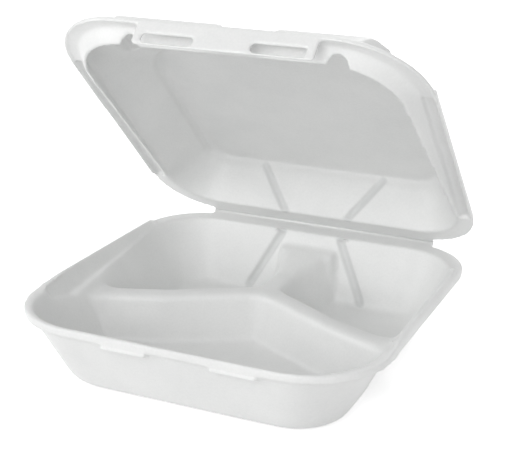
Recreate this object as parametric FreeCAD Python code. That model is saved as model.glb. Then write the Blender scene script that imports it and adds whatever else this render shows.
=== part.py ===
import FreeCAD, Part
import math
import os

os.makedirs("parts", exist_ok=True)

V = FreeCAD.Vector

# Hinged foam food container with three pockets, drawn lid open. Millimetres.
# X runs along the hinge, Y to the back (the hinge side), Z up.
# The origin is the middle of the foot that the tray stands on.

sheet = 2.2                 # thickness of the foam
tray_height = 45.5          # foot to the rim's top face
lid_open = 44.5             # how far the lid stands from closed, degrees
fit_gap = 0.3               # air between the closed halves' rims

# hinge
hinge_y = 117.0
hinge_half = 81.5
bead_r = 0.9
bead_gap = 0.3
axis_z = tray_height + fit_gap / 2

# tray rim, outer edge and inner edge
rim_half = 112.0
rim_front = -110.6
rim_back = 113.6
rim_r_front = 47.0
rim_r_back = 43.0
lip_drop = 5.4
rim_width = 7.0
well_half = rim_half - rim_width
front_width = 2.8
well_front = rim_front + front_width
back_width = 13.6
well_back = rim_back - back_width
well_r_front = 41.0
well_r_back = 36.0

# tray foot, inner surface of the floor
floor_half = 83.0
floor_front = -87.0
floor_back = 87.0
floor_r_front = 28.0
floor_r_back = 20.0
floor_blend = 4.0

# raised side edges and the step that runs down each side wall
edge_rise = 2.5
band_back = 72.0
band_deep_y = -42.0
band_front = -64.0
band_depth = 11.5
band_edge = rim_half - 2.8
band_foot = rim_half - 7.0

# divider: an upside-down Y
crest_drop = 14.0
crest_half = 7.5
crest_round = 6.5
foot_half = 17.0
apex_y = 26.0
knee_x = 56.0
knee_y = -6.0
arm_end_y = -19.0
flare = 18.0
stem_flare = 7.0

# pier on the back wall, where the stem of the Y ends
pier_half = 19.5
pier_drop = 9.5
pier_top_y = 87.5
pier_foot_y = 84.0

# pressed grooves of the back walls
groove_r = 2.8
groove_sink = 2.1

# lugs on the front wall, and the lid's lock over them
lock_shift = 6.5            # how far the lock's middle stands right of the tray's
lug_x = 33.0
lug_width = 28.0
lug_drop = 9.5
lug_thick = 3.0
lug_reach = 1.4

# lid rim: a channel, outer skirt and inner lip
channel_gap = 0.5            # between the tray's rim and the lid's channel, each side
side_wall = 1.5
channel_half = rim_half + channel_gap
lid_half = channel_half + side_wall
lock_gap = 2.0               # between the tray's rim and the lock skirt
lid_front = rim_front - lock_gap - sheet
lid_back = 113.6
lid_r_front = 50.0
lid_r_back = 40.0
skirt_drop = 1.0
side_rise = 3.0
lip_gap = 0.6                # between the lid's inner lip and the tray's wall
lip_half = well_half - lip_gap
lip_front = well_front + lip_gap
lip_thick = 2.2
lip_lean = 0.58
lip_depth = 8.0
mouth_r_front = 42.0
mouth_r_back = 30.0

# front lock: a straight skirt with two windows
lock_half = 54.0
lock_drop = 14.5
window_x = lug_x
window_width = lug_width + 3.0
window_top = 7.0
window_bottom = 12.6
arch_x = lock_half + 8.0     # arches cut up into the inner lip, beside the lock
arch_r = 5.5

# lid dome, inner surface
dome_height = 32.0
mouth_half = well_half - 2.0
mouth_front = well_front + 4.3
mouth_back = 102.0
panel_half = 80.0
panel_front = -44.0
panel_back = 90.5
panel_r_front = 40.0
panel_r_back = 15.0
boss_top = 16.0
boss_climb = 5.0
boss_round = 34.0
boss_inner = 19.0
boss_outer = 84.0
boss_foot_y = -103.0
boss_top_y = -90.0
boss_back_y = -58.0


def rounded(points, radii, z):
    """Closed wire through the points at height z, each corner an arc of its radius."""
    count = len(points)
    edges = []
    starts = []
    ends = []
    mids = []
    for i in range(count):
        p = V(points[i][0], points[i][1], z)
        before = V(points[i - 1][0], points[i - 1][1], z)
        after = V(points[(i + 1) % count][0], points[(i + 1) % count][1], z)
        u = (before - p).normalize()
        w = (after - p).normalize()
        half = math.acos(max(-1.0, min(1.0, u.dot(w)))) / 2
        run = radii[i] / math.tan(half)
        centre = p + (u + w).normalize() * (radii[i] / math.sin(half))
        starts.append(p + u * run)
        ends.append(p + w * run)
        mids.append(centre + (p - centre).normalize() * radii[i])
    for i in range(count):
        edges.append(Part.Arc(starts[i], mids[i], ends[i]).toShape())
        edges.append(Part.makeLine(ends[i], starts[(i + 1) % count]))
    return Part.Wire(edges)


def box_outline(half, front, back, r_front, r_back, z):
    corners = [(-half, front), (half, front), (half, back), (-half, back)]
    return rounded(corners, [r_front, r_front, r_back, r_back], z)


def prism(wire, z0, z1):
    base = wire.copy()
    base.translate(V(0, 0, z0 - base.BoundBox.ZMin))
    return Part.Face(base).extrude(V(0, 0, z1 - z0))


def block(x0, x1, y0, y1, z0, z1):
    return Part.makeBox(x1 - x0, y1 - y0, z1 - z0, V(x0, y0, z0))


def mirrored(shape):
    return shape.mirror(V(0, 0, 0), V(1, 0, 0))


def blend_in(z, blend):
    """How far the wall is pulled in at height z above the floor by a quarter-round of this radius."""
    if z >= blend:
        return 0.0
    return blend - math.sqrt(blend * blend - (blend - z) * (blend - z))


def tapered(top, bottom, z_top, z_bottom, blend, grow):
    """Solid between two rounded outlines, its lower edge rounded, grown outwards all round by grow."""
    wires = []
    steps = [0.0, 0.08, 0.3, 0.62, 1.0]
    levels = [blend * s for s in steps] + [z_top - z_bottom]
    for rise in levels:
        share = rise / (z_top - z_bottom)
        size = [b + (t - b) * share for t, b in zip(top, bottom)]
        pull = blend_in(rise, blend) - grow
        half = size[0] - pull
        front = size[1] + pull
        back = size[2] - pull
        r_front = size[3] - pull * 0.5
        r_back = size[4] - pull * 0.5
        wires.append(box_outline(half, front, back, r_front, r_back, z_bottom + rise))
    return Part.makeLoft(wires, True, True)


def side_band(grow):
    """The step down the right side wall: a flared strip over a ledge, deepest near the front."""
    wires = []
    rows = [(band_back + 0.5 * grow, 0.6, 1.0), (band_back - 20, 2.6, 1.0), (band_deep_y, band_depth, 1.0),
            (band_front - grow, band_depth * 0.55, 0.1)]
    for y, depth, share in rows:
        inner = rim_half - 16.0
        low = tray_height - depth - grow
        top = tray_height + edge_rise * share
        points = [
            V(inner, y, low),
            V(band_foot + grow, y, low),
            V(band_edge + grow, y, top),
            V(inner, y, top),
        ]
        wires.append(Part.makePolygon(points + [points[0]]))
    return Part.makeLoft(wires, True, True)


def divider(grow):
    """The Y-shaped ridge; a negative grow gives the hollow under it."""
    crest = tray_height - crest_drop + grow
    rows = [(0.0, foot_half)]
    for turn in (0, 18, 36, 54, 70, 82):
        a = math.radians(turn)
        drop = crest_round * (1 - math.sin(a))
        rows.append((crest - drop, crest_half + crest_round * 0.55 * (math.cos(a) - 1) + 1.2))
    wires = []
    for z, half in rows:
        a = half + grow
        rise = z / crest
        slope = math.hypot(knee_x, apex_y - knee_y) / knee_x
        front_apex = apex_y - a * slope
        knee_f = (knee_x, knee_y - a)
        knee_b = (knee_x, knee_y + a)
        corner_y = apex_y + a * slope - a * (apex_y - knee_y) / knee_x
        right = [
            knee_f,
            (90.0, arm_end_y - a),
            (rim_half, arm_end_y - a - flare),
            (rim_half, arm_end_y + a + flare * 0.5),
            (90.0, arm_end_y + a),
            knee_b,
            (a, corner_y),
            (a, 60.0),
            (a + stem_flare, 84.0),
            (a + stem_flare, 96.0),
        ]
        radii = [40.0, 24.0, 2.0, 2.0, 16.0, 24.0, 3.0 + 5.0 * rise, 24.0, 4.0, 1.0]
        left = [(-x, y) for x, y in reversed(right)]
        points = [(0.0, front_apex)] + right + left
        corner = [2.0 + 16.0 * rise] + radii + list(reversed(radii))
        wires.append(rounded(points, corner, z))
    return Part.makeLoft(wires, True, True)


def pier(grow):
    """Block on the back wall, its face nearly upright in front of the sloping wall."""
    wires = []
    for z, y, half in ((0.0, pier_foot_y, pier_half + 3.0), (tray_height - pier_drop, pier_top_y, pier_half)):
        points = [(-half - grow, y - grow), (half + grow, y - grow), (half + grow, well_back + 12.0), (-half - grow, well_back + 12.0)]
        wires.append(rounded(points, [3.5, 3.5, 1.0, 1.0], z + (grow if z else 0.0)))
    return Part.makeLoft(wires, True, True)


def stem_rise(grow):
    """The stem's crest climbs and widens towards the pier."""
    z0 = tray_height - crest_drop - 4.0
    wires = []
    for y, half, climb in ((44.0, crest_half - 1.5, -0.5), (66.0, crest_half + 0.5, 1.2), (84.0, crest_half + 7.0, 3.8),
                           (98.0, crest_half + 8.0, 4.3)):
        low = half + grow
        top = half - 2.0 + grow * 0.6
        z1 = tray_height - crest_drop + climb + grow
        points = [V(-low, y, z0), V(low, y, z0), V(low, y, z1 - 2.0), V(top, y, z1), V(-top, y, z1),
                  V(-low, y, z1 - 2.0)]
        wires.append(Part.makePolygon(points + [points[0]]))
    return Part.makeLoft(wires, True, True)


def groove(x0, y0, z0, x1, y1, z1, side, grow):
    """Rod lying along a wall, sunk into it by groove_sink; side is the wall's inward normal."""
    a = V(x0, y0, z0)
    b = V(x1, y1, z1)
    off = V(*side).normalize() * (groove_r - groove_sink)
    return Part.makeCylinder(groove_r + grow, (b - a).Length, a + off, b - a)


# Tray: the outer form less the same form one sheet thickness inside it.
rim_size = (well_half, well_front, well_back, well_r_front, well_r_back)
floor_size = (floor_half, floor_front, floor_back, floor_r_front, floor_r_back)
skin = sheet * 1.12
well = tapered(rim_size, floor_size, tray_height, sheet, floor_blend, 0.0)
shell = tapered(rim_size, floor_size, tray_height - 0.4, 0.0, floor_blend + skin * 0.6, skin)
rim_wire = box_outline(rim_half, rim_front, rim_back, rim_r_front, rim_r_back, 0.0)
inner_rim = box_outline(rim_half - 2.4, rim_front + 2.4, rim_back - 2.4, rim_r_front - 2.4, rim_r_back - 2.4, 0.0)
plate = prism(rim_wire, tray_height - sheet, tray_height)
rolled = prism(rim_wire, tray_height - lip_drop, tray_height)
rolled = rolled.cut(prism(inner_rim, tray_height - lip_drop - 1, tray_height + 1))
rolled = rolled.makeFillet(0.9, [e for e in rolled.Edges if e.BoundBox.ZMax < tray_height - lip_drop + 0.01])
tab = block(-hinge_half, hinge_half, 98.0, hinge_y - bead_r * 0.7, tray_height - sheet, tray_height)
band_right = side_band(0.0)
band_skin = side_band(sheet)
ridge = divider(0.0).fuse([pier(0.0), stem_rise(0.0)])
hollow = divider(-sheet).fuse([pier(-sheet), stem_rise(-sheet)])

outside = shell.fuse([plate, rolled, tab, band_skin, mirrored(band_skin)])
above_rim = block(-well_half - 0.6, well_half + 0.6, -150, 150, tray_height, tray_height + 9)
inside = well.fuse([band_right, mirrored(band_right), above_rim])
tray = outside.cut(inside)
tray = tray.fuse(ridge.common(well))
tray = tray.cut(hollow.common(shell).cut(block(-200, 200, -200, 200, -5, -1)))

base_slope = (0.0, -(tray_height - sheet), well_back - floor_back)
for sign in (-1, 1):
    line = (sign * 21, 99.4, tray_height - 1.5, sign * 41, 88.2, 5.5)
    rib = groove(*line, base_slope, sheet).cut(well)
    tray = tray.fuse(rib).cut(groove(*line, base_slope, 0.0))

for sign in (-1, 1):
    x0 = lock_shift + sign * lug_x - lug_width / 2
    z0 = tray_height - lug_drop
    lug = block(x0, x0 + lug_width, rim_front - lug_reach, -100.0, z0, z0 + lug_thick)
    ramp_a = V(x0 - 1, rim_front - lug_reach - 0.01, z0 - 0.01)
    ramp_b = V(x0 - 1, -105.0, z0 - 0.01)
    ramp_c = V(x0 - 1, rim_front - lug_reach - 0.01, z0 + lug_thick * 0.7)
    ramp = Part.Face(Part.makePolygon([ramp_a, ramp_b, ramp_c, ramp_a])).extrude(V(lug_width + 2, 0, 0))
    tray = tray.fuse(lug.cut(ramp).cut(well))

bead = Part.makeCylinder(bead_r, 2 * hinge_half, V(-hinge_half, hinge_y, axis_z), V(1, 0, 0))
tray = tray.fuse(bead).removeSplitter()

# Lid, modelled closed and then swung open about the hinge.
zero = axis_z + fit_gap / 2
roof = zero + sheet
lid_wire = box_outline(lid_half, lid_front, lid_back, lid_r_front, lid_r_back, 0.0)
slot_wire = box_outline(channel_half, lid_front + sheet, lid_back + 30, rim_r_front, lid_r_back, 0.0)

mouth_size = (mouth_half, mouth_front, mouth_back, mouth_r_front, mouth_r_back)
panel_size = (panel_half, panel_front, panel_back, panel_r_front, panel_r_back)


def dome(grow, top, low):
    wires = []
    count = 5
    wires.append(box_outline(mouth_half + grow, mouth_front - grow, mouth_back + grow, mouth_r_front + grow,
                             mouth_r_back + grow, low))
    for i in range(count + 1):
        turn = math.radians(90.0 * i / count)
        soft = 6.0
        rise = top - zero - soft + soft * math.sin(turn)
        share = (top - zero - soft) / (top - zero)
        size = [m + (p - m) * share for m, p in zip(mouth_size, panel_size)]
        pull = [p - s for p, s in zip(panel_size, size)]
        size = [s + d * (1 - math.cos(turn)) for s, d in zip(size, pull)]
        wires.append(box_outline(size[0] + grow, size[1] - grow, size[2] + grow, size[3], size[4], zero + rise))
    return Part.makeLoft(wires, True, True)


dome_in = dome(0.0, zero + dome_height, zero)
dome_out = dome(skin, zero + dome_height + sheet, zero)
ends_y = hinge_y - 46.0
collar = prism(lid_wire, zero - skirt_drop, roof)
collar = collar.makeFillet(1.4, [e for e in collar.Edges if e.BoundBox.ZMin > roof - 0.01])
collar = collar.cut(block(-200, 200, ends_y, 200, zero - 20, zero))
slot = prism(slot_wire, zero - skirt_drop - 1, zero).common(block(-200, 200, -200, ends_y - sheet, 0, 200))


def side_channel(grow):
    """Raised strip of the lid's right edge, over the tray's raised side edge."""
    y0 = band_front - 2.0 - grow
    y1 = band_back + 2.0 + grow
    low = zero - skirt_drop - 0.5 if grow == 0 else zero
    top = zero + side_rise + grow
    outer = channel_half if grow == 0 else lid_half
    inner = mouth_half + 2.1 if grow == 0 else mouth_half + 0.8
    points = [V(inner, y0, low), V(outer, y0, low), V(outer - 1.0, y0, top), V(inner, y0, top)]
    solid = Part.Face(Part.makePolygon(points + [points[0]])).extrude(V(0, y1 - y0, 0))
    return solid.makeFillet(0.9 if grow else 0.3, [e for e in solid.Edges if e.CenterOfMass.z > top - 0.01
                                                   and e.CenterOfMass.x > outer - 1.1])


def lip_loop(inset):
    """The inner lip's solid, leaning inwards as it goes down; inset gives its inner face."""
    wires = []
    for drop in (-1.0, 0.0, lip_depth):
        pull = inset + max(0.0, drop) * lip_lean
        wires.append(box_outline(lip_half - pull, lip_front + pull, lid_back + 31, mouth_r_front - pull * 0.5, 30.0,
                                 zero - drop))
    return Part.makeLoft(wires, True, True)


lip = lip_loop(0.0).cut(lip_loop(lip_thick))
slant_a = V(-150, ends_y + 10, zero)
slant_b = V(-150, -60, zero - lip_depth)
slant_c = V(-150, -60, zero - lip_depth - 30)
slant_d = V(-150, ends_y + 90, zero - lip_depth - 30)
slant_e = V(-150, ends_y + 90, zero)
slant = Part.Face(Part.makePolygon([slant_a, slant_b, slant_c, slant_d, slant_e, slant_a])).extrude(V(300, 0, 0))
lip = lip.cut(slant).common(block(-200, 200, -200, ends_y, 0, 200))
for sign in (-1, 1):
    arch_foot = V(lock_shift + sign * arch_x, lid_front - 1.0, zero - lip_depth)
    lip = lip.cut(Part.makeCylinder(arch_r, 60.0, arch_foot, V(0, 1, 0)))
mouth = prism(box_outline(mouth_half, mouth_front, mouth_back, mouth_r_front, mouth_r_back, 0.0), zero - 3.0, zero + 0.5)
lid_tab = block(-hinge_half, hinge_half, 98.0, hinge_y - bead_r - bead_gap, zero, zero + sheet)

lock = block(lock_shift - lock_half, lock_shift + lock_half, lid_front, lid_front + sheet, zero - lock_drop, roof - 1.0)
lock_sides = [e for e in lock.Edges if abs(e.tangentAt(e.FirstParameter).y) > 0.9 and e.CenterOfMass.z < zero]
lock = lock.makeFillet(3.0, lock_sides)
windows = []
for sign in (-1, 1):
    x0 = lock_shift + sign * window_x - window_width / 2
    windows.append(block(x0, x0 + window_width, lid_front - 1, lid_front + sheet + 1, zero - window_bottom, zero - window_top))
lock = lock.cut(windows[0].fuse(windows[1]))



def bosses(grow):
    """Two swellings of the lid's front slope, either side of the thumb recess."""
    solids = []
    for sign in (-1, 1):
        low_x = -130.0 if sign < 0 else 0.0
        profile = [(boss_foot_y - grow, zero - 1), (boss_foot_y - grow, zero), (boss_top_y - grow, zero + boss_top + grow),
                   (boss_back_y + grow, zero + boss_top + boss_climb + grow), (boss_back_y + grow, zero - 1)]
        points = [V(low_x, y, z) for y, z in profile]
        solid = Part.Face(Part.makePolygon(points + [points[0]])).extrude(V(130.0, 0, 0))
        ends = [(boss_inner - 7.0, zero - 1), (boss_outer + 40, zero - 1), (boss_outer + 40, zero + 60),
                (boss_inner, zero + 60), (boss_inner, zero + boss_top), (boss_inner - 7.0, zero)]
        shape_x = Part.makePolygon([V(lock_shift + sign * (x - grow), -150, z) for x, z in ends + [ends[0]]])
        solid = solid.common(Part.Face(shape_x).extrude(V(0, 300, 0)))
        solid = solid.common(prism(box_outline(boss_outer + grow, boss_foot_y - grow, 60, boss_round, 20, 0),
                                   zero if grow else zero - 1, 300))
        solids.append(solid)
    return solids


swell = bosses(sheet)
swell_in = bosses(0.0)
ridge_out = side_channel(sheet)
ridge_in = side_channel(0.0)
lid = dome_out.fuse([collar, lid_tab, ridge_out, mirrored(ridge_out)] + swell)
lid = lid.cut(slot.fuse([ridge_in, mirrored(ridge_in), mouth]))
lid = lid.fuse(lip)
lid = lid.cut(dome_in.fuse(swell_in))
lid = lid.fuse(lock)
back_slope = (0.0, -dome_height, -(mouth_back - panel_back))
for sign in (-1, 1):
    line = (sign * 23, mouth_back - 0.8, zero + 1, sign * 43, panel_back + 0.6, zero + dome_height - 4)
    rib = groove(*line, back_slope, sheet).cut(dome_in).common(block(-200, 200, 0, 200, zero, zero + 60))
    lid = lid.fuse(rib).cut(groove(*line, back_slope, 0.0))
lid = lid.removeSplitter()
lid.rotate(V(0, hinge_y, axis_z), V(-1, 0, 0), lid_open)

tray.exportStep("parts/base_tray.step")
lid.exportStep("parts/lid.step")
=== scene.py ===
import math

import bmesh
import bpy
import numpy as np
from mathutils import Matrix, Vector


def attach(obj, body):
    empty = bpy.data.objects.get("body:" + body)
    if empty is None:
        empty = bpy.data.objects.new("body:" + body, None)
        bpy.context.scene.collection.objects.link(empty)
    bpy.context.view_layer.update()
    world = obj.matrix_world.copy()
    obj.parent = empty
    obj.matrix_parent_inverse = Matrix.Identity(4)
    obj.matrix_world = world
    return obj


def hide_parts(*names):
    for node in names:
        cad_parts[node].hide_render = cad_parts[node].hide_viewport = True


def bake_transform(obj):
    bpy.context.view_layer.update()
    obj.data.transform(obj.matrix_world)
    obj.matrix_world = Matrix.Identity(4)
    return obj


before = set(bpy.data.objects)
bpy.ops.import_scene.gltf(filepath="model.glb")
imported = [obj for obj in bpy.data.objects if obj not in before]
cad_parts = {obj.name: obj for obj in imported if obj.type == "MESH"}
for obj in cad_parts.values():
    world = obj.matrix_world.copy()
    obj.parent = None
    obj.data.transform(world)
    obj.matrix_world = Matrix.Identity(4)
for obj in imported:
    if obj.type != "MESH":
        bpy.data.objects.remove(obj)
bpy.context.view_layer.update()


# The tray half.
# Half of a 2 mm sheet of polystyrene foam, heated and drawn into a mould: three pockets, a Y-shaped divider,
# a rolled rim, side ledges and two lugs under the front rim. Its creases are soft, so the mesh is eased.
MM = 0.001
SKIN_STEP = 1.15 * MM
MERGE_GAP = 0.002 * MM
TRIANGLE_LIMIT = 190000
EASING_LEVELS = 10
EASING_FACTOR = 0.5
SETTLE_ROUNDS = 3


def soft_range(value, low, high):
    """0 below low, 1 above high, a straight ramp between."""
    return np.clip((value - low) / (high - low), 0.0, 1.0)


def sheet_copy(node_name, name):
    """A closed copy of one solid's mesh, as an object of its own."""
    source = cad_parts[node_name]
    piece = bpy.data.objects.new(name, source.data.copy())
    bpy.context.collection.objects.link(piece)
    work = bmesh.new()
    work.from_mesh(piece.data)
    bmesh.ops.remove_doubles(work, verts=work.verts, dist=MERGE_GAP)
    work.to_mesh(piece.data)
    work.free()
    piece.data.materials.clear()
    return piece


def apply_all(piece):
    """Applies every modifier of a piece, in order."""
    bpy.ops.object.select_all(action="DESELECT")
    bpy.context.view_layer.objects.active = piece
    piece.select_set(True)
    for modifier in list(piece.modifiers):
        bpy.ops.object.modifier_apply(modifier=modifier.name)


def points_of(piece):
    """The places of a mesh's points, one row each, in millimetres."""
    place = np.empty(len(piece.data.vertices) * 3)
    piece.data.vertices.foreach_get("co", place)
    return place.reshape(-1, 3) / MM


def add_easing(piece, rounds, creases=""):
    """Smooths the whole mesh, or only what a vertex group holds."""
    ease = piece.modifiers.new("ease", "SMOOTH")
    ease.factor = EASING_FACTOR
    ease.iterations = rounds
    ease.vertex_group = creases


def drawn_sheet(piece, weight, rounds):
    """Turns the creased copy into a drawn foam sheet: an even mesh, its creases eased where weight says."""
    even = piece.modifiers.new("even", "REMESH")
    even.mode = "VOXEL"
    even.voxel_size = SKIN_STEP
    apply_all(piece)
    piece.data.calc_loop_triangles()
    count = len(piece.data.loop_triangles)
    if count > TRIANGLE_LIMIT:
        thin = piece.modifiers.new("thin", "DECIMATE")
        thin.ratio = TRIANGLE_LIMIT / count
        apply_all(piece)
    amount = weight(points_of(piece))
    creases = piece.vertex_groups.new(name="creases")
    for level in range(1, EASING_LEVELS + 1):
        chosen = np.nonzero(np.round(amount * EASING_LEVELS) == level)[0]
        creases.add(chosen.tolist(), level / EASING_LEVELS, "REPLACE")
    add_easing(piece, rounds, creases.name)
    add_easing(piece, SETTLE_ROUNDS)
    apply_all(piece)
    piece.vertex_groups.clear()
    piece.data.shade_smooth()


FOAM_WHITE = (0.845, 0.848, 0.842, 1.0)
FOAM_SHADE = (0.765, 0.772, 0.768, 1.0)
# Painted shade: a darker colour put into the grooves where shade falls in them.
GROOVE_PAINTED_SHADE = (0.690, 0.698, 0.694, 1.0)
FOAM_FINISH = {"IOR": 1.42, "Specular IOR Level": 0.55, "Sheen Weight": 0.05, "Sheen Roughness": 0.5}
CELL_ROUNDING = 0.6
CELL_SHADE = 0.45
GRAIN_PER_METRE = 2600.0
GRAIN_DETAIL = 3.0
GRAIN_RELIEF = 0.35
STREAKS_PER_METRE = 120.0
STREAK_DETAIL = 2.0
STREAK_STRETCH = (1.0, 1.0, 0.25)
STREAK_SHADE = 0.22
CLOUDS_PER_METRE = 32.0
CLOUD_DETAIL = 2.0
CLOUD_SPREAD = (0.35, 0.68)
CLOUD_SHADE = (0.0, 0.36)
SATIN_SPREAD = (0.3, 0.7)
SATIN_ROUGHNESS = (0.30, 0.38)
BUMP_STRENGTH = 0.35
BUMP_DEPTH = 0.18 * MM


def add_noise(nodes, scale, detail):
    """A noise texture with its own scale and detail."""
    noise = nodes.new("ShaderNodeTexNoise")
    noise.inputs["Scale"].default_value = scale
    noise.inputs["Detail"].default_value = detail
    return noise


def add_range(nodes, low, high, to_low, to_high):
    """Turns values from low to high into values from to_low to to_high."""
    ramp = nodes.new("ShaderNodeMapRange")
    ramp.inputs["From Min"].default_value = low
    ramp.inputs["From Max"].default_value = high
    ramp.inputs["To Min"].default_value = to_low
    ramp.inputs["To Max"].default_value = to_high
    return ramp


def add_share(nodes, links, value, share, base):
    """A share of one value on top of another."""
    total = nodes.new("ShaderNodeMath")
    total.operation = "MULTIPLY_ADD"
    total.inputs[1].default_value = share
    links.new(value, total.inputs[0])
    links.new(base, total.inputs[2])
    return total


def add_tint(nodes, links, factor, first, second):
    """The first colour, turned into the second by factor."""
    tint = nodes.new("ShaderNodeMix")
    tint.data_type = "RGBA"
    links.new(factor, tint.inputs["Factor"])
    links.new(first, tint.inputs["A"])
    links.new(second, tint.inputs["B"])
    return tint.outputs["Result"]


def foam_skin_group():
    """Closed skin of foam beads: flattened cells, fine grain, clouds of density, and painted shade in the
    grooves.
    """
    group = bpy.data.node_groups.new("Foam skin", "ShaderNodeTree")
    sockets = {
        "INPUT": {"Pale": "Color", "Shade": "Color", "Groove painted shade": "Color",
                  "Groove shade amount": "Float", "Cells per metre": "Float", "Relief": "Float"},
        "OUTPUT": {"Colour": "Color", "Roughness": "Float", "Height": "Float"},
    }
    for side, kinds in sockets.items():
        for name, kind in kinds.items():
            group.interface.new_socket(name, in_out=side, socket_type="NodeSocket" + kind)
    nodes, links = group.nodes, group.links
    came_in = nodes.new("NodeGroupInput")
    gone_out = nodes.new("NodeGroupOutput")
    place = nodes.new("ShaderNodeTexCoord").outputs["Object"]

    cells = nodes.new("ShaderNodeTexVoronoi")
    cells.feature = "SMOOTH_F1"
    cells.inputs["Smoothness"].default_value = CELL_ROUNDING
    links.new(place, cells.inputs["Vector"])
    links.new(came_in.outputs["Cells per metre"], cells.inputs["Scale"])
    grain = add_noise(nodes, GRAIN_PER_METRE, GRAIN_DETAIL)
    links.new(place, grain.inputs["Vector"])
    clouds = add_noise(nodes, CLOUDS_PER_METRE, CLOUD_DETAIL)
    links.new(place, clouds.inputs["Vector"])
    pull = add_noise(nodes, STREAKS_PER_METRE, STREAK_DETAIL)
    stretch = nodes.new("ShaderNodeMapping")
    stretch.inputs["Scale"].default_value = STREAK_STRETCH
    links.new(place, stretch.inputs["Vector"])
    links.new(stretch.outputs["Vector"], pull.inputs["Vector"])

    uneven = add_range(nodes, *CLOUD_SPREAD, *CLOUD_SHADE)
    links.new(clouds.outputs["Fac"], uneven.inputs["Value"])
    streak = add_share(nodes, links, pull.outputs["Fac"], STREAK_SHADE, uneven.outputs["Result"])
    bead = add_share(nodes, links, cells.outputs["Distance"], CELL_SHADE, streak.outputs["Value"])
    bead.use_clamp = True
    tint = add_tint(nodes, links, bead.outputs["Value"], came_in.outputs["Pale"], came_in.outputs["Shade"])
    # Painted shade: along the grooves the colour turns to the darker groove colour.
    with_groove_shade = add_tint(nodes, links, came_in.outputs["Groove shade amount"], tint, came_in.outputs["Groove painted shade"])
    links.new(with_groove_shade, gone_out.inputs["Colour"])

    satin = add_range(nodes, *SATIN_SPREAD, *SATIN_ROUGHNESS)
    links.new(clouds.outputs["Fac"], satin.inputs["Value"])
    links.new(satin.outputs["Result"], gone_out.inputs["Roughness"])

    rise = add_share(nodes, links, grain.outputs["Fac"], GRAIN_RELIEF, cells.outputs["Distance"])
    height = nodes.new("ShaderNodeMath")
    height.operation = "MULTIPLY"
    links.new(rise.outputs["Value"], height.inputs[0])
    links.new(came_in.outputs["Relief"], height.inputs[1])
    links.new(height.outputs["Value"], gone_out.inputs["Height"])
    return group


foam_skin = foam_skin_group()


def foam_material(name, cells_per_metre, relief):
    """White satin foam: the skin group with this part's own cells and relief."""
    material = bpy.data.materials.new(name)
    material.use_nodes = True
    nodes, links = material.node_tree.nodes, material.node_tree.links
    surface = nodes["Principled BSDF"]
    for socket, value in FOAM_FINISH.items():
        surface.inputs[socket].default_value = value
    skin = nodes.new("ShaderNodeGroup")
    skin.node_tree = foam_skin
    skin.inputs["Pale"].default_value = FOAM_WHITE
    skin.inputs["Shade"].default_value = FOAM_SHADE
    skin.inputs["Groove painted shade"].default_value = GROOVE_PAINTED_SHADE
    skin.inputs["Cells per metre"].default_value = cells_per_metre
    skin.inputs["Relief"].default_value = relief
    # The pressed mask carries painted shade into the grooves' colour.
    groove_shade_mask = nodes.new("ShaderNodeAttribute")
    groove_shade_mask.attribute_name = "pressed"
    links.new(groove_shade_mask.outputs["Fac"], skin.inputs["Groove shade amount"])
    bump = nodes.new("ShaderNodeBump")
    bump.inputs["Strength"].default_value = BUMP_STRENGTH
    bump.inputs["Distance"].default_value = BUMP_DEPTH
    links.new(skin.outputs["Colour"], surface.inputs["Base Color"])
    links.new(skin.outputs["Roughness"], surface.inputs["Roughness"])
    links.new(skin.outputs["Height"], bump.inputs["Height"])
    links.new(bump.outputs["Normal"], surface.inputs["Normal"])
    return material


# How far, in millimetres, from a pressed groove the foam gets painted shade, and how far the groove keeps its
# edges out of the easing. Each pair below says where a mask begins to change and where it is done.
GROOVE_SHADE_REACH = (2.5, 3.6)
GROOVE_CLEAR = (4.5, 8.0)
GROOVE_EASING = 0.1


def groove_distance(x, y, z, top, foot):
    """Distance of each point from a pressed groove that runs from top to foot, in millimetres."""
    top, foot = np.array(top), np.array(foot)
    at = np.stack([x, y, z], axis=1)
    along = np.clip((at - top) @ (foot - top) / np.sum((foot - top) ** 2), 0.0, 1.0)
    return np.linalg.norm(at - top - along[:, None] * (foot - top), axis=1)


def clear_of_groove(distance):
    """1 away from a groove, near 0 along it."""
    return GROOVE_EASING + (1.0 - GROOVE_EASING) * soft_range(distance, *GROOVE_CLEAR)


def paint_groove_shade(piece, distance):
    """Keeps on each point of a finished piece how far it lies in a groove, as the mask for painted shade in
    the foam's colour.
    """
    pressed = 1.0 - soft_range(distance(points_of(piece)), *GROOVE_SHADE_REACH)
    groove_shade_mask = piece.data.attributes.new("pressed", "FLOAT", "POINT")
    groove_shade_mask.data.foreach_set("value", pressed)


TRAY_EASING_ROUNDS = 40
TRAY_GROOVE_TOP = (21.0, 99.4, 44.0)
TRAY_GROOVE_FOOT = (41.0, 88.2, 5.5)
BELOW_RIM = (37.5, 42.5)
LOW_WALL = (26.0, 30.0)
POCKET_SIDE = (98.0, 103.0)
FRONT_WALL = (-101.0, -96.0)
LEDGE_ROOT = (94.0, 97.0)
LEDGE_TIP = (107.5, 109.5)
LEDGE_FOOT = (27.0, 30.0)
LEDGE_FRONT = (-84.0, -78.0)
LEDGE_BACK = (-50.0, -40.0)
LEDGE_EASING = 0.7


def tray_groove(at):
    """Distance of each point from the nearer of the two grooves in the tray's back wall."""
    return groove_distance(np.abs(at[:, 0]), at[:, 1], at[:, 2], TRAY_GROOVE_TOP, TRAY_GROOVE_FOOT)


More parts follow.
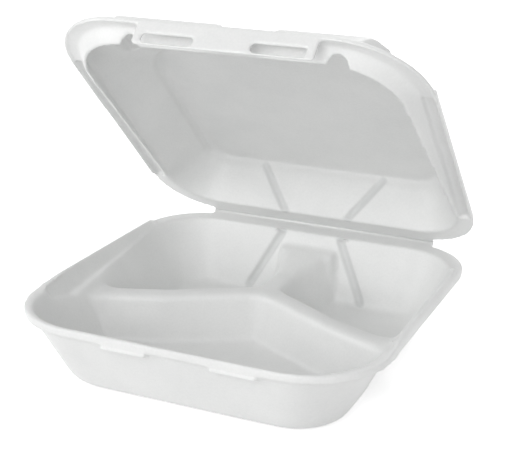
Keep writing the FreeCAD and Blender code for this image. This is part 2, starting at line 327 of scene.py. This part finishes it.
def tray_creases(at):
    """Full easing in the pockets and low on the walls, some at the ledges' front ends, none at the rim."""
    x, y, z = np.abs(at[:, 0]), at[:, 1], at[:, 2]
    inside = (1.0 - soft_range(x, *POCKET_SIDE)) * soft_range(y, *FRONT_WALL)
    pockets = (1.0 - soft_range(z, *BELOW_RIM)) * inside
    low = 1.0 - soft_range(z, *LOW_WALL)
    ledge_end = soft_range(x, *LEDGE_ROOT) * (1.0 - soft_range(x, *LEDGE_TIP)) * soft_range(z, *LEDGE_FOOT)
    ledge_end = ledge_end * soft_range(y, *LEDGE_FRONT) * (1.0 - soft_range(y, *LEDGE_BACK))
    eased = np.maximum(np.maximum(pockets, low), LEDGE_EASING * ledge_end)
    return eased * clear_of_groove(tray_groove(at))


tray = sheet_copy("base_tray", "tray_half")
drawn_sheet(tray, tray_creases, TRAY_EASING_ROUNDS)
# Painted shade in the tray's back-wall grooves.
paint_groove_shade(tray, tray_groove)
tray.data.materials.append(foam_material("Foam skin, tray", cells_per_metre=760.0, relief=1.0))
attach(tray, "tray")
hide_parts("base_tray")


# The lid half.
# The other half of the same sheet: a shallow dome with a channelled edge and an inner lip that goes into the
# tray. Two windows in its front skirt catch the lugs, and two small arches in the lip let steam out.
HINGE_Y = 117.0
HINGE_Z = 45.65
LID_OPEN = math.radians(44.5)
LID_EASING_ROUNDS = 9
LID_GROOVE_TOP = (23.0, 101.2, 1.0)
LID_GROOVE_FOOT = (43.0, 91.1, 28.0)
LID_WALL = (3.5, 8.0)
LID_DOME = (8.0, 12.0)
LID_SIDE = (100.0, 104.0)
LID_BACK = (98.0, 101.0)


def on_lid(at):
    """Points given in the open lid's place, turned to where they are with the lid closed, in millimetres."""
    y = at[:, 1] - HINGE_Y
    z = at[:, 2] - HINGE_Z
    closed_y = y * math.cos(LID_OPEN) - z * math.sin(LID_OPEN)
    closed_z = y * math.sin(LID_OPEN) + z * math.cos(LID_OPEN)
    return np.abs(at[:, 0]), closed_y + HINGE_Y, closed_z


def lid_groove(at):
    """Distance of each point from the nearer of the two grooves in the lid's back wall."""
    return groove_distance(*on_lid(at), LID_GROOVE_TOP, LID_GROOVE_FOOT)


def lid_creases(at):
    """Full easing over the dome, none at the rim, the inner lip, the skirt and the hinge edge."""
    x, y, up = on_lid(at)
    inside = (1.0 - soft_range(x, *LID_SIDE)) * (1.0 - soft_range(y, *LID_BACK))
    walls = soft_range(up, *LID_WALL) * inside
    return np.maximum(walls, soft_range(up, *LID_DOME)) * clear_of_groove(lid_groove(at))


lid = sheet_copy("lid", "lid_half")
drawn_sheet(lid, lid_creases, LID_EASING_ROUNDS)
# Painted shade in the lid's back-wall grooves.
paint_groove_shade(lid, lid_groove)
lid.data.materials.append(foam_material("Foam skin, lid", cells_per_metre=700.0, relief=1.0))
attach(lid, "cover")
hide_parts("lid")


# The hinge web.
# The line where both halves are still one sheet. The press squeezes the foam there to half a millimetre of
# tough skin round the hinge line.
WEB_HALF = 81.0 * MM
WEB_THICK = 0.5 * MM
WEB_RADIUS = 1.1 * MM
WEB_FROM = math.radians(250.0)
WEB_SWEEP = math.radians(220.0)
WEB_STEPS = 22
WEB_MERGE_GAP = 0.01 * MM
web_line = Vector((0.0, HINGE_Y * MM, HINGE_Z * MM))
web_start = web_line + WEB_RADIUS * Vector((0.0, math.cos(WEB_FROM), math.sin(WEB_FROM)))
bpy.ops.object.select_all(action="DESELECT")
bpy.ops.mesh.primitive_plane_add(size=1.0, location=web_start, rotation=(WEB_FROM, 0.0, 0.0))
web = bpy.context.object
web.name = "hinge_web"
web.scale = (2 * WEB_HALF, WEB_THICK, 1.0)
bpy.ops.object.transform_apply(location=True, rotation=True, scale=True)
bpy.ops.object.mode_set(mode="EDIT")
bpy.ops.mesh.select_all(action="SELECT")
bpy.ops.mesh.spin(steps=WEB_STEPS, angle=WEB_SWEEP, center=web_line, axis=(1.0, 0.0, 0.0))
bpy.ops.mesh.select_all(action="SELECT")
bpy.ops.mesh.remove_doubles(threshold=WEB_MERGE_GAP)
bpy.ops.mesh.normals_make_consistent(inside=False)
bpy.ops.object.mode_set(mode="OBJECT")
web.data.shade_smooth()
web.data.materials.append(foam_material("Foam skin, pressed hinge", cells_per_metre=900.0, relief=0.6))
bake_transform(web)


# The camera, floor and light.
# A pale floor and the photograph's viewing angle. Three soft lamps stand in front and one behind, and an even
# sky fills the shadows.
PICTURE_WIDTH = 510
FOCAL_PIXELS = 1224.4
SENSOR = 36.0
CAMERA_PLACE = Vector((0.2881, -0.6358, 0.31985))
CAMERA_RIGHT = Vector((0.9108, 0.4126, 0.0096))
CAMERA_DOWN = Vector((0.1448, -0.2976, -0.9437))
CAMERA_AHEAD = Vector((-0.3865, 0.8609, -0.3308))
lens = bpy.data.cameras.new("photograph")
lens.sensor_width = SENSOR
lens.lens = SENSOR * FOCAL_PIXELS / PICTURE_WIDTH
camera = bpy.data.objects.new("photograph", lens)
bpy.context.collection.objects.link(camera)
turn = Matrix((CAMERA_RIGHT, -CAMERA_DOWN, -CAMERA_AHEAD)).transposed().to_4x4()
turn.translation = CAMERA_PLACE
camera.matrix_world = turn
bpy.context.scene.camera = camera

PLAIN_WHITE = (1.0, 1.0, 1.0, 1.0)
FLOOR_SIZE = 6.0
FLOOR_PLACE = (0.0, 0.0, -0.0004)
FLOOR_PAPER = (0.82, 0.82, 0.82, 1.0)
FLOOR_ROUGHNESS = 0.9
FLOOR_GLOW = 0.62
SKY_ON_FOAM = 0.46
SKY_SEEN = 1.0


def background_rays(nodes, links):
    """1 for what the camera or a glossy surface sees straight on, 0 for the light that falls on things."""
    seen = nodes.new("ShaderNodeLightPath")
    straight = nodes.new("ShaderNodeMath")
    straight.operation = "MAXIMUM"
    links.new(seen.outputs["Is Camera Ray"], straight.inputs[0])
    links.new(seen.outputs["Is Glossy Ray"], straight.inputs[1])
    return straight.outputs["Value"]


bpy.ops.object.select_all(action="DESELECT")
bpy.ops.mesh.primitive_plane_add(size=FLOOR_SIZE, location=FLOOR_PLACE)
floor = bpy.context.object
floor.name = "floor"
paper = bpy.data.materials.new("Floor paper")
paper.use_nodes = True
nodes, links = paper.node_tree.nodes, paper.node_tree.links
surface = nodes["Principled BSDF"]
surface.inputs["Base Color"].default_value = FLOOR_PAPER
surface.inputs["Roughness"].default_value = FLOOR_ROUGHNESS
surface.inputs["Emission Color"].default_value = PLAIN_WHITE
glow = nodes.new("ShaderNodeMath")
glow.operation = "MULTIPLY"
glow.inputs[1].default_value = FLOOR_GLOW
links.new(background_rays(nodes, links), glow.inputs[0])
links.new(glow.outputs["Value"], surface.inputs["Emission Strength"])
floor.data.materials.append(paper)

LAMP_AIM = Vector((0.0, 0.0, 0.08))
LAMP_SIZE = 1.1
LAMPS = (
    ("front lamp", (0.0, -1.495, 0.777), 9.6),
    ("left lamp", (-1.27, -0.889, 0.644), 7.0),
    ("right lamp", (1.27, -0.889, 0.644), 2.0),
    ("back lamp", (0.1, 1.15, 1.35), 11.0),
)
for name, place, watts in LAMPS:
    light = bpy.data.lights.new(name, "AREA")
    light.size = LAMP_SIZE
    light.energy = watts
    lamp = bpy.data.objects.new(name, light)
    bpy.context.collection.objects.link(lamp)
    lamp.location = place
    lamp.rotation_euler = (LAMP_AIM - Vector(place)).to_track_quat("-Z", "Y").to_euler()

sky = bpy.data.worlds.new("studio")
bpy.context.scene.world = sky
sky.use_nodes = True
nodes, links = sky.node_tree.nodes, sky.node_tree.links
background = nodes["Background"]
background.inputs["Color"].default_value = PLAIN_WHITE
level = add_range(nodes, 0.0, 1.0, SKY_ON_FOAM, SKY_SEEN)
links.new(background_rays(nodes, links), level.inputs["Value"])
links.new(level.outputs["Result"], background.inputs["Strength"])
bpy.context.scene.view_settings.view_transform = "Standard"
